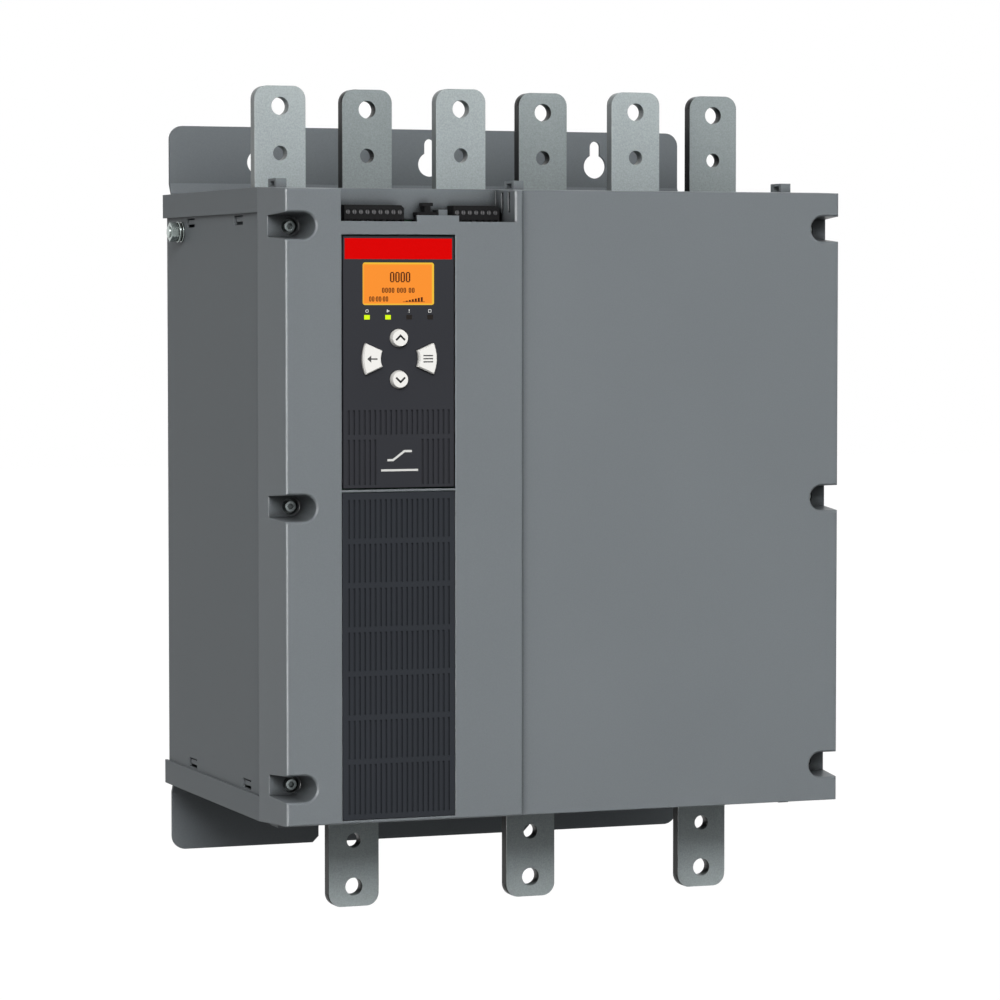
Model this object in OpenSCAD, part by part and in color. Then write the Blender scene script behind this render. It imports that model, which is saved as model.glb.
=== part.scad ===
// Three-phase soft starter for wall mounting, six connection bars on top and three below
// Millimetres, Z up, the wall is the plane y = 0, the front faces -Y
// The origin is the centre of the middle keyhole on the wall plane

/* [Enclosure] */
// Width of the cover across its front face
body_w = 440; // [434:1:500]
// Height of the cover on its front face
body_h = 460; // [452:1:540]
// Depth from the wall to the front face
body_d = 308; // [306:1:350]
// Depth of the moulded front cover
cover_d = 52; // [50:1:60]
// Wall thickness of the moulded cover
cover_t = 3; // [2:0.5:3.5]
// Widening of each side of the cover from front to rear
side_draft = 4.7; // [3:0.1:6]
// Widening of the top and the bottom of the cover from front to rear
end_draft = 1.85; // [1:0.05:3]
// Setback of the right part of the front face
step_d = 3; // [1:0.5:4]
// Distance from the left edge of the cover to the setback
step_x = 182.5; // [180:0.5:200]
// Thickness of the panel sheet
sheet_t = 2; // [1.5:0.5:2.5]
// Height of the turned edges of the top and bottom panels
flange_h = 18.3; // [14:0.1:20]

/* [Mounting plate] */
// Width of the mounting plate
plate_w = 435; // [400:1:444]
// Thickness of the mounting plate
plate_t = 3; // [2:0.5:4]
// Step of the plate away from the wall
joggle = 5; // [4:0.5:7]
// Height of the plate above the keyhole centres
plate_up = 28; // [24:0.5:40]
// Length of the plate below the cover
plate_down = 56.5; // [45:0.5:70]
// Height of the keyhole centres above the cover
key_up = 28.5; // [26:0.5:40]
// Diameter of the keyhole entry
key_d = 19.4; // [16:0.2:20]
// Width of the keyhole neck and of the lower slots
neck_w = 9; // [6:0.5:10]
// Distance from the entry centre to the neck end
neck_l = 16; // [14:0.5:18]
// Distance of the lower slots from the middle
slot_x = 91; // [80:1:100]

/* [Bars] */
// Distance between the phases
phase_p = 144; // [141:0.5:146]
// Width of the connection bars
bar_w = 40; // [30:1:40]
// Thickness of the connection bars
bar_t = 10; // [6:1:10]
// Corner radius of the bar ends
bar_r = 10; // [4:0.5:12]
// Height of the upper bars above the keyhole centres
bar_up = 51.2; // [45:0.1:80]
// Length of the lower bars below the cover
bar_down = 80.6; // [75:0.1:110]
// Distance from the bar end to the first hole
hole_edge = 15.2; // [14:0.1:20]
// Distance between the two holes of a bar
hole_p = 35.2; // [30:0.1:38]
// Diameter of the outer hole
lug_d = 13.5; // [9:0.5:15]
// Diameter of the inner hole
aux_d = 11; // [6:0.5:13]
// Sideways offset of the line and bypass bars from the phase centre
bar_off = 40; // [38:0.5:40]
// Sideways offset of the outlet bars from the phase centre
outlet_off = 17; // [0:1:20]

/* [Keypad and grooved panel] */
// Distance of keypad and grooved panel from the left edge of the cover
pad_left = 42.9; // [40:0.1:50]
// Width of keypad and grooved panel
pad_w = 86.3; // [84:0.1:92]
// Distance of the keypad from the top edge of the cover
pad_top = 33.4; // [33:0.1:40]
// Height of the keypad
pad_h = 183.4; // [180:0.2:190]
// Height of the bridge between keypad and grooved panel
bridge_h = 2.7; // [2:0.1:6]
// Distance of the grooved panel from the bottom edge of the cover
grille_low = 3; // [3:0.5:20]
// Joint around the grooved panel
joint_g = 0.5; // [0.3:0.1:0.8]
// Wider shadow joint around the keypad
pad_joint = 1.25; // [0.9:0.05:1.4]
// Width of the display window
lcd_w = 55; // [40:1:58]
// Height of the display window
lcd_h = 30.7; // [20:0.1:32]
// Diameter of the round buttons at their foot
button_d = 13.4; // [10:0.2:13.6]
// Height of the buttons over the keypad face
button_h = 4; // [1.5:0.5:5]
// Number of groove columns
cols = 20; // [12:1:22]
// Width of the grooves
slot_w = 1.5; // [0.8:0.1:2]

/* [Terminals] */
// Distance between terminal poles
pole_p = 5; // [4.5:0.1:5.1]
// Poles of the left terminal block
poles_a = 9; // [4:1:9]
// Poles of the right terminal block
poles_b = 7; // [3:1:7]
// Depth of the terminal recess
recess_d = 40; // [36:0.5:41]

/* [Power stack] */
// Width of the heat sinks
sink_w = 120; // [120:1:132]
// Thickness of the heat sink bases
base_t = 20; // [17:1:24]
// Depth of the front fins
front_fin = 38; // [20:1:40]
// Number of fins
fins = 11; // [7:1:13]
// Fin thickness
fin_t = 2.4; // [1.5:0.1:3]
// Diameter of the thyristor discs
disc_d = 80; // [60:1:82]
// Thickness of the thyristor discs over their poles
disc_h = 43; // [36:1:48]
// Height of the disc poles over the rims
disc_pole = 5; // [3:0.5:6]
// Thickness of the disc rims
disc_rim = 3; // [2:0.5:4]
// Diameter of the clamp bolts
clamp_d = 10; // [8:1:12]
// Size of the clamp bolt heads and nuts over their flats
clamp_af = 17; // [15:1:19]
// Distance of the clamp bolts from the phase centre
bolt_x = 49; // [48:0.5:50]
// Height of the gate board
gate_h = 110; // [80:1:140]
// Distance of the gate board posts from the phase centre
post_x = 50; // [46:0.5:52]
// Side of the square cooling fans
fan_s = 92; // [80:1:92]
// Number of fan blades
blades = 7; // [5:1:9]

/* [Hidden] */
e = 0.01;
w2 = body_w / 2;
fy = -body_d;
cy = fy + cover_d;
ct = -key_up;
cb = ct - body_h;
pt = ct + end_draft;
pb = cb - end_draft;
px = w2 + side_draft;
sx = px - sheet_t;
mp = -plate_t - joggle;
ph = [-phase_p, 0, phase_p];
top_bar_z = bar_up;
low_bar_z = cb - bar_down;
// Stack of the power modules from the control board back to the wall
board_y = fy + recess_d + 4;
fin_front = board_y + 22;
front_f = fin_front + front_fin;
front_r = front_f + base_t;
rear_f = front_r + disc_h;
sink_back = -30;
bypass_y = rear_f - bar_t;
line_y = front_r;
floor_z = pb + sheet_t;
sink_top = ct - 91.5;
sink_low = cb + 28.5;
// Bar ends and discs share the height of the heat sinks
bar_lap = 52;
bolt_1 = 12;
bolt_p = 28;
bar_end = sink_top - bar_lap;
block_top = sink_low + bar_lap;
outlet_end = block_top - bolt_1;
front_low = block_top + 8;
disc_gap = (bar_end - block_top - 2 * disc_d) / 3;
bolt_z = [bar_end - disc_gap - disc_d / 2, block_top + disc_gap + disc_d / 2];
bar_bolts = [bar_end + bolt_1, bar_end + bolt_1 + bolt_p];
outlet_bolts = [outlet_end, outlet_end - bolt_p];
// Keypad and pocket places
kx = -w2 + pad_left + pad_w / 2;
kt = ct - pad_top;
kb = kt - pad_h;
gt = kb - bridge_h;
gb = cb + grille_low;
cz = kt - 89.3;
pocket_z = [ct - 26.8, (ct + cb) / 2, cb + 26.9];
pocket_x = w2 - 13.5;
pocket_y = fy + 33;
rec_l = -w2 + 42.1;
rec_r = -w2 + 176.5;
lip_z = ct - 23.3;
rec_z = ct - 29;
ta_x = -w2 + 53.5;
tb_x = -w2 + 174;
block_y = board_y - 18;

// Shared helpers
module bx(x0, x1, y0, y1, z0, z1)
  translate([x0, y0, z0])
    cube([x1 - x0, y1 - y0, z1 - z0]);

module rod(x, z, d, y0, y1)
  translate([x, y0, z])
    rotate([-90, 0, 0])
      cylinder(d = d, h = y1 - y0, $fn = 48);

module hexrod(x, z, af, y0, y1)
  translate([x, y0, z])
    rotate([-90, 0, 0])
      cylinder(d = af / cos(30), h = y1 - y0, $fn = 6);

// Flat shape drawn as x and z, extruded from y0 to y1
module facing(y0, y1)
  translate([0, y1, 0])
    rotate([90, 0, 0])
      linear_extrude(y1 - y0)
        children();

// Flat shape drawn as y and z, extruded from x0 to x1
module across(x0, x1)
  translate([x0, 0, 0])
    rotate([90, 0, 90])
      linear_extrude(x1 - x0)
        children();

module rounded(x0, x1, z0, z1, r) {
  translate([x0 + r, z0])
    square([x1 - x0 - 2 * r, z1 - z0]);
  translate([x0, z0 + r])
    square([x1 - x0, z1 - z0 - 2 * r]);
  for (x = [x0 + r, x1 - r])
    for (z = [z0 + r, z1 - r])
      translate([x, z])
        circle(r = r, $fn = 48);
}

// Mounting plate, one bent sheet with a stepped flange above and below
module plate_profile()
  polygon([
    [mp, cb - 3.5], [mp, ct + 3.5], [-plate_t, ct + 11.5], [-plate_t, plate_up],
    [0, plate_up], [0, ct + 10.5], [mp + plate_t, ct + 2.5],
    [mp + plate_t, cb - 2.5], [0, cb - 10.5], [0, cb - plate_down],
    [-plate_t, cb - plate_down], [-plate_t, cb - 11.5]]);

module keyhole(x) {
  translate([x, 0])
    circle(d = key_d, $fn = 64);
  translate([x - neck_w / 2, 0])
    square([neck_w, neck_l]);
  translate([x, neck_l])
    circle(d = neck_w, $fn = 48);
}

module open_slot(x) {
  z0 = cb - plate_down;
  translate([x - neck_w / 2, z0 - 1])
    square([neck_w, 25]);
  translate([x, z0 + 24])
    circle(d = neck_w, $fn = 48);
  polygon([
    [x - neck_w / 2 - 5, z0 - e], [x + neck_w / 2 + 5, z0 - e],
    [x + neck_w / 2, z0 + 5], [x - neck_w / 2, z0 + 5]]);
}

module mounting_plate()
  color([0.42, 0.43, 0.44])
    difference() {
      intersection() {
        across(-plate_w / 2, plate_w / 2)
          plate_profile();
        facing(mp - 1, 1)
          rounded(-plate_w / 2, plate_w / 2, cb - plate_down, plate_up, 10.7);
      }
      facing(mp - 2, 2)
        for (x = ph)
          keyhole(x);
      facing(mp - 2, 2)
        for (x = [-slot_x, slot_x])
          open_slot(x);
    }

// Top and bottom panel, drawn with the outer face at z = 0
module tray() {
  bx(-px, px, cy, mp, -sheet_t, 0);
  bx(-px, -sx, cy, mp, -flange_h, 0);
  bx(sx, px, cy, mp, -flange_h, 0);
  bx(-sx + sheet_t, sx - sheet_t, cy, cy + sheet_t, -flange_h, 0);
  bx(-sx + sheet_t, sx - sheet_t, mp - sheet_t, mp, -flange_h, 0);
  for (x = [-w2 + 17, -17, w2 - 17])
    loop(x);
}

module loop(x)
  difference() {
    bx(x - 4, x + 4, cy + 10, cy + 29, -e, 7);
    bx(x - 5, x + 5, cy + 14, cy + 25, 1.5, 5);
  }

module vent_slots(y0, y1)
  for (x = ph)
    for (i = [-5:5])
      bx(x + i * 8 - 2, x + i * 8 + 2, y0, y1, -sheet_t - 1, 1);

// Insulator opening of the panels, as the edges of the hole
fan_y = -72;

function hole_x() = phase_p + bar_off + bar_w / 2 + 6;
function row_f() = line_y - 7;
function row_b() = rear_f + 7;

module top_panel()
  color([0.37, 0.38, 0.39])
    translate([0, 0, pt])
      difference() {
        tray();
        bx(-hole_x(), hole_x(), row_f(), row_b(), -sheet_t - 1, 1);
        vent_slots(rear_f + base_t + 1, sink_back - 4);
      }

module bottom_panel()
  color([0.37, 0.38, 0.39])
    translate([0, 0, pb])
      mirror([0, 0, 1])
        difference() {
          tray();
          bx(-hole_x(), hole_x(), row_f(), line_y + bar_t + 7, -sheet_t - 1, 1);
          vent_slots(fan_y - fan_s / 2 + 4, fan_y + fan_s / 2 - 4);
        }

// Cut round a tab of the side panel, the tab stays on at its front end
tab_l = 21;
tab_h = 7;

module tab_cut(y, z)
  difference() {
    bx(-sx - 1, -sx + sheet_t + 1, y, y + tab_l, z, z + tab_h);
    bx(-sx + 0.6, -sx + sheet_t + 2, y - 1, y + tab_l - 4, z + 2.4, z + tab_h - 1.2);
  }

// Side panel on the left, the right one is its mirror image
module side_panel() {
  difference() {
    union() {
      bx(-sx, -sx + sheet_t, cy, mp - 5, pb + sheet_t, pt - sheet_t);
      bx(-sx, -w2 + 32, cy, cy + sheet_t, pb + flange_h, pt - flange_h);
      bx(-sx, -w2 + 14, mp - 5 - sheet_t, mp - 5, pb + flange_h, pt - flange_h);
    }
    for (z = pocket_z)
      rod(-pocket_x, z, 5, cy - 1, cy + sheet_t + 1);
    for (y = [fy + 94, fy + 219])
      tab_cut(y, pt - flange_h - 8.3);
    for (y = [fy + 77.5, fy + 218])
      tab_cut(y, pb + flange_h + 1.5);
  }
}

earth_y = fy + 253.5;
earth_z = pt - flange_h - 11.4;

module left_side_panel()
  color([0.37, 0.38, 0.39])
    difference() {
      side_panel();
      translate([-sx - 1, earth_y, earth_z])
        rotate([0, 90, 0])
          cylinder(d = 8.4, h = sheet_t + 2, $fn = 48);
    }

module right_side_panel()
  color([0.37, 0.38, 0.39])
    mirror([1, 0, 0])
      side_panel();

// Earth connection on the left side, axis along X
module on_earth(x0, len, d, n = 48)
  translate([x0, earth_y, earth_z])
    rotate([0, 90, 0])
      cylinder(d = d, h = len, $fn = n);

module earth_stud()
  color([0.7, 0.71, 0.7]) {
    on_earth(-sx - 11.3, 11.3 + sheet_t, 8);
    on_earth(-sx + sheet_t, 4, 15, 6);
  }

module earth_nut()
  color([0.72, 0.73, 0.72])
    difference() {
      on_earth(-sx - 10.1, 6, 13 / cos(30), 6);
      on_earth(-sx - 11, 8, 8.1);
    }

module earth_washers()
  color([0.66, 0.68, 0.67])
    for (w = [[0, 1.2, 16], [1.25, 1.4, 14], [2.7, 1.25, 16]])
      difference() {
        on_earth(-sx - w[0] - w[1], w[1], w[2]);
        on_earth(-sx - w[0] - w[1] - 1, w[1] + 2, 8.2);
      }

// Front cover, one moulding; flat outlines with small rounded front edges
function arc(x, y, r, a0, a1) =
  [for (i = [0:5]) [x + r * cos(a0 + (a1 - a0) * i / 5), y + r * sin(a0 + (a1 - a0) * i / 5)]];

module cover_plan()
  polygon(concat(
    [[px, cy]],
    [[-px, cy]],
    arc(-w2 + 2, fy + 2, 2, 175, 270),
    arc(-w2 + step_x - 1.2, fy + 1.2, 1.2, 270, 360),
    [[-w2 + step_x, fy + step_d + e]],
    [[-w2 + step_x, fy + step_d]],
    arc(w2 - 2, fy + step_d + 2, 2, 270, 365)));

module cover_side()
  polygon(concat(
    [[cy, pb]],
    [[cy, pt]],
    arc(fy + 1.5, ct - 1.5, 1.5, 92, 180),
    arc(fy + 1.5, cb + 1.5, 1.5, 180, 268)));

module cover_outer()
  intersection() {
    translate([0, 0, pb - 1])
      linear_extrude(pt - pb + 2)
        cover_plan();
    across(-px - 1, px + 1)
      cover_side();
  }

module cover_inner()
  intersection() {
    translate([0, 0, pb - 1])
      linear_extrude(pt - pb + 2)
        polygon([
          [-px + cover_t, cy + 1], [-w2 + cover_t, fy + cover_t],
          [-w2 + step_x - cover_t, fy + cover_t],
          [-w2 + step_x - cover_t, fy + cover_t + step_d],
          [w2 - cover_t, fy + cover_t + step_d], [px - cover_t, cy + 1]]);
    across(-px - 1, px + 1)
      polygon([
        [fy - 1, cb + cover_t], [fy - 1, ct - cover_t],
        [cy + 1, pt - cover_t], [cy + 1, pb + cover_t]]);
  }

// Tapered pocket for a cover screw, open to the side, with a slope round its mouth
rim = 1.2;

function pocket_r(y) = 9.8 - (y - fy + 0.3) * 2.1 / (pocket_y - fy + 0.3);

module pocket_mouth(x, z) {
  s = sign(x);
  f = x < 0 ? fy : fy + step_d;
  r0 = pocket_r(f + rim) + rim + 0.3;
  r1 = pocket_r(f + rim) - 0.5;
  translate([x, f - 0.3, z])
    rotate([-90, 0, 0])
      cylinder(r1 = r0, r2 = r1, h = rim + 0.8, $fn = 64);
  across(min(x, s * (px + 2)), max(x, s * (px + 2)))
    polygon([[f - 0.3, z - r0], [f - 0.3, z + r0], [f + rim + 0.5, z + r1], [f + rim + 0.5, z - r1]]);
}

module pocket(x, z) {
  s = sign(x);
  pocket_mouth(x, z);
  translate([x, fy - 0.3, z])
    rotate([-90, 0, 0])
      cylinder(r1 = 9.8, r2 = 7.7, h = pocket_y - fy + 0.3, $fn = 64);
  across(min(x, s * (px + 2)), max(x, s * (px + 2)))
    polygon([
      [fy - 0.3, z - 9.8], [fy - 0.3, z + 9.8],
      [pocket_y, z + 7.7], [pocket_y, z - 7.7]]);
  rod(x, z, 11.6, pocket_y - 1, pocket_y + 4);
  rod(x, z, 5.5, pocket_y - 1, cy + 1);
}

module pocket_boss(x, z) {
  s = sign(x);
  bx(min(x - s * 12.5, s * (px + 2)), max(x - s * 12.5, s * (px + 2)), fy, cy, z - 12.7, z + 12.7);
}

board_pins = [[-w2 + 31, ct - 48], [-w2 + 160, ct - 48], [-w2 + 31, ct - 200], [-w2 + 160, ct - 200]];

module recess_cut() {
  bx(rec_l, rec_r, fy + cover_t, fy + recess_d, rec_z, pt + 2);
  bx(rec_l, -w2 + 100.4, fy - 1, fy + cover_t + e, lip_z, pt + 2);
  bx(-w2 + 100.4 - e, -w2 + 132.7, fy - 1, fy + cover_t + e, lip_z + 4.5, pt + 2);
  bx(-w2 + 132.7 - e, rec_r, fy - 1, fy + cover_t + e, lip_z, pt + 2);
  bx(rec_l, rec_r, fy + recess_d - e, fy + recess_d + 3, rec_z, rec_z + 8);
  translate([rec_r, fy, lip_z])
    linear_extrude(pt + 2 - lip_z)
      polygon([[-1, -0.3], [rim + 0.3, -0.3], [-0.5, rim + 0.5], [-1, rim + 0.5]]);
  for (y = [10.5, 24.5])
    bx(rec_r - e, rec_r + 7, fy + y, fy + y + 4, ct - 16, ct - 1.2);
}

module front_cover()
  color([0.47, 0.49, 0.5])
    difference() {
      union() {
        difference() {
          cover_outer();
          cover_inner();
        }
        intersection() {
          cover_outer();
          union() {
            for (x = [-pocket_x, pocket_x])
              for (z = pocket_z)
                pocket_boss(x, z);
            bx(rec_l - 2.5, rec_r + 2.5, fy, fy + recess_d + 2.5, rec_z - 2, pt + 1);
            bx(rec_r, rec_r + 9, fy + 8, fy + 31, ct - 19, pt + 1);
          }
        }
        for (p = board_pins)
          rod(p[0], p[1], 7, fy + cover_t - e, board_y);
      }
      for (x = [-pocket_x, pocket_x])
        for (z = pocket_z)
          pocket(x, z);
      difference() {
        recess_cut();
        bx(-w2 + 127.3, -w2 + 134.3, block_y + 3, fy + recess_d + e, rec_z - e, ct - 14);
      }
      bx(kx - pad_w / 2 - joint_g, kx + pad_w / 2 + joint_g, fy - 1, fy + cover_t + 1, kb - joint_g, kt + joint_g);
      bx(kx - pad_w / 2 - joint_g, kx + pad_w / 2 + joint_g, fy - 1, fy + cover_t + 1, gb - joint_g, gt + joint_g);
    }

module cover_screws()
  color([0.55, 0.56, 0.57])
    for (x = [-pocket_x, pocket_x])
      for (z = pocket_z)
        difference() {
          union() {
            rod(x, z, 8, pocket_y - 2.2, pocket_y + 2.8);
            rod(x, z, 4.9, pocket_y + 2.8 - e, cy + sheet_t + 6);
          }
          hexrod(x, z, 4, pocket_y - 3, pocket_y + 0.3);
        }

module cover_washers()
  color([0.45, 0.46, 0.47])
    for (x = [-pocket_x, pocket_x])
      for (z = pocket_z)
        difference() {
          rod(x, z, 11, pocket_y + 2.8, pocket_y + 4);
          rod(x, z, 5.2, pocket_y + 2, pocket_y + 5);
        }

// Insulating plates that hold the bars in the panels
module bar_slot(x, y, z0, z1)
  bx(x - bar_w / 2 - 0.2, x + bar_w / 2 + 0.2, y - 0.2, y + bar_t + 0.2, z0, z1);

module top_insulator()
  color([0.09, 0.09, 0.1])
    difference() {
      union() {
        bx(-hole_x() + 0.3, hole_x() - 0.3, row_f() + 0.3, row_b() - 0.3, pt - sheet_t - e, pt);
        bx(-hole_x() - 4, hole_x() + 4, row_f() - 8, row_b() + 8, pt - sheet_t - 4, pt - sheet_t);
      }
      for (x = ph) {
        bar_slot(x - bar_off, line_y, pt - sheet_t - 5, pt + 1);
        bar_slot(x + bar_off, bypass_y, pt - sheet_t - 5, pt + 1);
      }
    }

module bottom_insulator()
  color([0.09, 0.09, 0.1])
    difference() {
      union() {
        bx(-hole_x() + 0.3, hole_x() - 0.3, row_f() + 0.3, line_y + bar_t + 6.7, pb, floor_z + e);
        bx(-hole_x() - 4, hole_x() + 4, row_f() - 8, line_y + bar_t + 15, floor_z, floor_z + 4);
      }
      for (x = ph)
        bar_slot(x + outlet_off, line_y, pb - 1, floor_z + 5);
    }

// Connection bars with two holes at the free end
module bar_shape(x, z0, z1, up) {
  zr = up ? z1 : z0;
  s = up ? 1 : -1;
  difference() {
    union() {
      translate([x - bar_w / 2, up ? z0 : z0 + bar_r])
        square([bar_w, z1 - z0 - bar_r]);
      translate([x - bar_w / 2 + bar_r, z0])
        square([bar_w - 2 * bar_r, z1 - z0]);
      for (i = [-1, 1])
        translate([x + i * (bar_w / 2 - bar_r), zr - s * bar_r])
          circle(r = bar_r, $fn = 48);
    }
    translate([x, zr - s * hole_edge])
      circle(d = lug_d, $fn = 64);
    translate([x, zr - s * (hole_edge + hole_p)])
      circle(d = aux_d, $fn = 64);
    for (k = [bolt_1, bolt_1 + bolt_p])
      translate([x, (up ? z0 : z1) + s * k])
        circle(d = 10.5, $fn = 48);
  }
}

module line_bar(i)
  color([0.62, 0.66, 0.65])
    facing(line_y, line_y + bar_t)
      bar_shape(ph[i] - bar_off, bar_end, top_bar_z, true);

module bypass_bar(i)
  color([0.62, 0.66, 0.65])
    facing(bypass_y, bypass_y + bar_t)
      bar_shape(ph[i] + bar_off, bar_end, top_bar_z, true);

module outlet_bar(i)
  color([0.62, 0.66, 0.65])
    facing(line_y, line_y + bar_t)
      bar_shape(ph[i] + outlet_off, low_bar_z, block_top, false);

module line_bar_1() line_bar(0);
module line_bar_2() line_bar(1);
module line_bar_3() line_bar(2);
module bypass_bar_1() bypass_bar(0);
module bypass_bar_2() bypass_bar(1);
module bypass_bar_3() bypass_bar(2);
module outlet_bar_1() outlet_bar(0);
module outlet_bar_2() outlet_bar(1);
module outlet_bar_3() outlet_bar(2);

// Copper blocks that carry the outlet bars on the rear heat sinks
module outlet_blocks()
  color([0.72, 0.45, 0.3])
    for (x = ph)
      difference() {
        bx(x + outlet_off - bar_w / 2, x + outlet_off + bar_w / 2, line_y + bar_t, rear_f, sink_low, block_top);
        for (z = outlet_bolts)
          rod(x + outlet_off, z, 10.5, line_y, rear_f + 1);
      }

// Heat sinks, extruded fins on a thick base
module fin_row(x, y0, y1) {
  span = sink_w - 44;
  for (i = [0:fins - 1])
    translate([x - span / 2 + i * (span - fin_t) / (fins - 1), y0])
      square([fin_t, y1 - y0]);
}

module front_sink(i)
  color([0.66, 0.67, 0.68])
    difference() {
      union() {
        bx(ph[i] - sink_w / 2, ph[i] + sink_w / 2, front_f, front_r, front_low, sink_top);
        translate([0, 0, front_low])
          linear_extrude(sink_top - front_low)
            fin_row(ph[i], fin_front, front_f + 1);
      }
      for (x = [-bolt_x, bolt_x])
        for (z = bolt_z)
          rod(ph[i] + x, z, clamp_d + 4.2, front_f - 1, front_r + 1);
      for (z = bar_bolts)
        rod(ph[i] - bar_off, z, 10.2, front_r - 16, front_r + 1);
    }

module rear_sink(i)
  color([0.66, 0.67, 0.68])
    difference() {
      union() {
        bx(ph[i] - sink_w / 2, ph[i] + sink_w / 2, rear_f, rear_f + base_t, sink_low, sink_top);
        translate([0, 0, sink_low])
          linear_extrude(sink_top - sink_low)
            fin_row(ph[i], rear_f + base_t - 1, sink_back);
      }
      for (x = [-bolt_x, bolt_x])
        for (z = bolt_z)
          rod(ph[i] + x, z, clamp_d + 0.6, rear_f - 1, rear_f + base_t + 1);
      for (z = bar_bolts)
        rod(ph[i] + bar_off, z, 10.2, rear_f - 1, rear_f + 16);
      for (z = outlet_bolts)
        rod(ph[i] + outlet_off, z, 10.2, rear_f - 1, rear_f + 16);
    }

module front_sink_1() front_sink(0);
module front_sink_2() front_sink(1);
module front_sink_3() front_sink(2);
module rear_sink_1() rear_sink(0);
module rear_sink_2() rear_sink(1);
module rear_sink_3() rear_sink(2);

// Press-pack thyristors, two per phase in antiparallel
rim_a = disc_pole + disc_rim;
rim_b = disc_h - rim_a;
disc_m = disc_h / 2;
pole_r = disc_d * 0.31;
ring_r = disc_d * 0.44;
shed_r = disc_d * 0.46;

module thyristor_discs()
  color([0.85, 0.84, 0.8])
    for (x = ph)
      for (z = bolt_z)
        translate([x, front_r, z])
          rotate([-90, 0, 0])
            rotate_extrude($fn = 96)
              polygon([
                [0, 0], [pole_r, 0], [pole_r, disc_pole], [disc_d / 2, disc_pole], [disc_d / 2, rim_a],
                [ring_r, rim_a], [ring_r, disc_m - 1.5], [shed_r, disc_m], [ring_r, disc_m + 1.5],
                [ring_r, rim_b], [disc_d / 2, rim_b], [disc_d / 2, disc_h - disc_pole],
                [pole_r, disc_h - disc_pole], [pole_r, disc_h], [0, disc_h]]);

module clamp_bolts()
  color([0.5, 0.51, 0.52])
    for (x = ph)
      for (k = [-bolt_x, bolt_x])
        for (z = bolt_z) {
          hexrod(x + k, z, clamp_af, front_f - 3 - 6.4, front_f - 3);
          rod(x + k, z, clamp_d, front_f - 3 - e, rear_f + base_t + 12);
          hexrod(x + k, z, clamp_af, rear_f + base_t, rear_f + base_t + 8);
        }

module clamp_sleeves()
  color([0.75, 0.7, 0.5])
    for (x = ph)
      for (k = [-bolt_x, bolt_x])
        for (z = bolt_z)
          difference() {
            union() {
              rod(x + k, z, clamp_d + 10, front_f - 3, front_f);
              rod(x + k, z, clamp_d + 4, front_f - e, front_r);
            }
            rod(x + k, z, clamp_d + 0.4, front_f - 4, front_r + 1);
          }

module busbar_bolts()
  color([0.55, 0.56, 0.57])
    for (x = ph) {
      for (z = bar_bolts) {
        hexrod(x - bar_off, z, 16, line_y + bar_t, line_y + bar_t + 6.4);
        rod(x - bar_off, z, 10, front_r - 15, line_y + bar_t + e);
        hexrod(x + bar_off, z, 16, bypass_y - 6.4, bypass_y);
        rod(x + bar_off, z, 10, bypass_y - e, rear_f + 15);
      }
      for (z = outlet_bolts) {
        hexrod(x + outlet_off, z, 16, line_y - 6.4, line_y);
        rod(x + outlet_off, z, 10, line_y - e, rear_f + 15);
      }
    }

// Insulating rails between the mounting plate and the rear heat sinks
module support_rails()
  color([0.78, 0.72, 0.5])
    for (z = [sink_top - 30, sink_low + 40])
      bx(-phase_p - sink_w / 2, phase_p + sink_w / 2, sink_back, mp, z - 12, z + 12);

module current_transformers()
  color([0.12, 0.14, 0.2])
    for (x = ph)
      difference() {
        bx(x + outlet_off - 34, x + outlet_off + 34, line_y - 22, line_y + bar_t + 13, floor_z + 4, sink_low - 2);
        bx(x + outlet_off - bar_w / 2 - 1, x + outlet_off + bar_w / 2 + 1,
          line_y - 1, line_y + bar_t + 1, floor_z, sink_low);
      }

// Cooling fans on the bottom panel, axis along Z
module fan_frames()
  color([0.1, 0.1, 0.11])
    for (x = ph)
      translate([x, fan_y, floor_z]) {
        difference() {
          translate([-fan_s / 2, -fan_s / 2, 0])
            cube([fan_s, fan_s, 25]);
          translate([0, 0, -1])
            cylinder(d = fan_s - 4, h = 27, $fn = 96);
          for (a = [-1, 1])
            for (b = [-1, 1])
              translate([a * (fan_s / 2 - 5), b * (fan_s / 2 - 5), -1])
                cylinder(d = 4.5, h = 27, $fn = 32);
        }
        difference() {
          union() {
            cylinder(d = 38, h = 4, $fn = 64);
            for (a = [0:90:270])
              rotate(a + 45)
                translate([15, -2.5, 0])
                  cube([fan_s / 2 - 16, 5, 4]);
          }
          translate([0, 0, 1.5])
            cylinder(d = 4.1, h = 4, $fn = 48);
        }
      }

module fan_rotor(i)
  color([0.14, 0.14, 0.15])
    translate([ph[i], fan_y, floor_z]) {
      translate([0, 0, 4.5])
        cylinder(d = 36, h = 18, $fn = 64);
      translate([0, 0, 2])
        cylinder(d = 4, h = 3, $fn = 48);
      intersection() {
        translate([0, 0, 5])
          difference() {
            cylinder(d = fan_s - 8, h = 17, $fn = 96);
            translate([0, 0, -1])
              cylinder(d = 34, h = 20, $fn = 64);
          }
        for (a = [0:blades - 1])
          rotate(a * 360 / blades)
            translate([0, 0, 13.5])
              rotate([38, 0, 0])
                translate([0, -14, -0.9])
                  cube([fan_s / 2, 28, 1.8]);
      }
    }

module fan_rotor_1() fan_rotor(0);
module fan_rotor_2() fan_rotor(1);
module fan_rotor_3() fan_rotor(2);

// Circuit boards inside
gate_y = fin_front - 6;
gate_z = (bolt_z[0] + bolt_z[1]) / 2;
gate_x = phase_p + post_x + 6;

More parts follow.
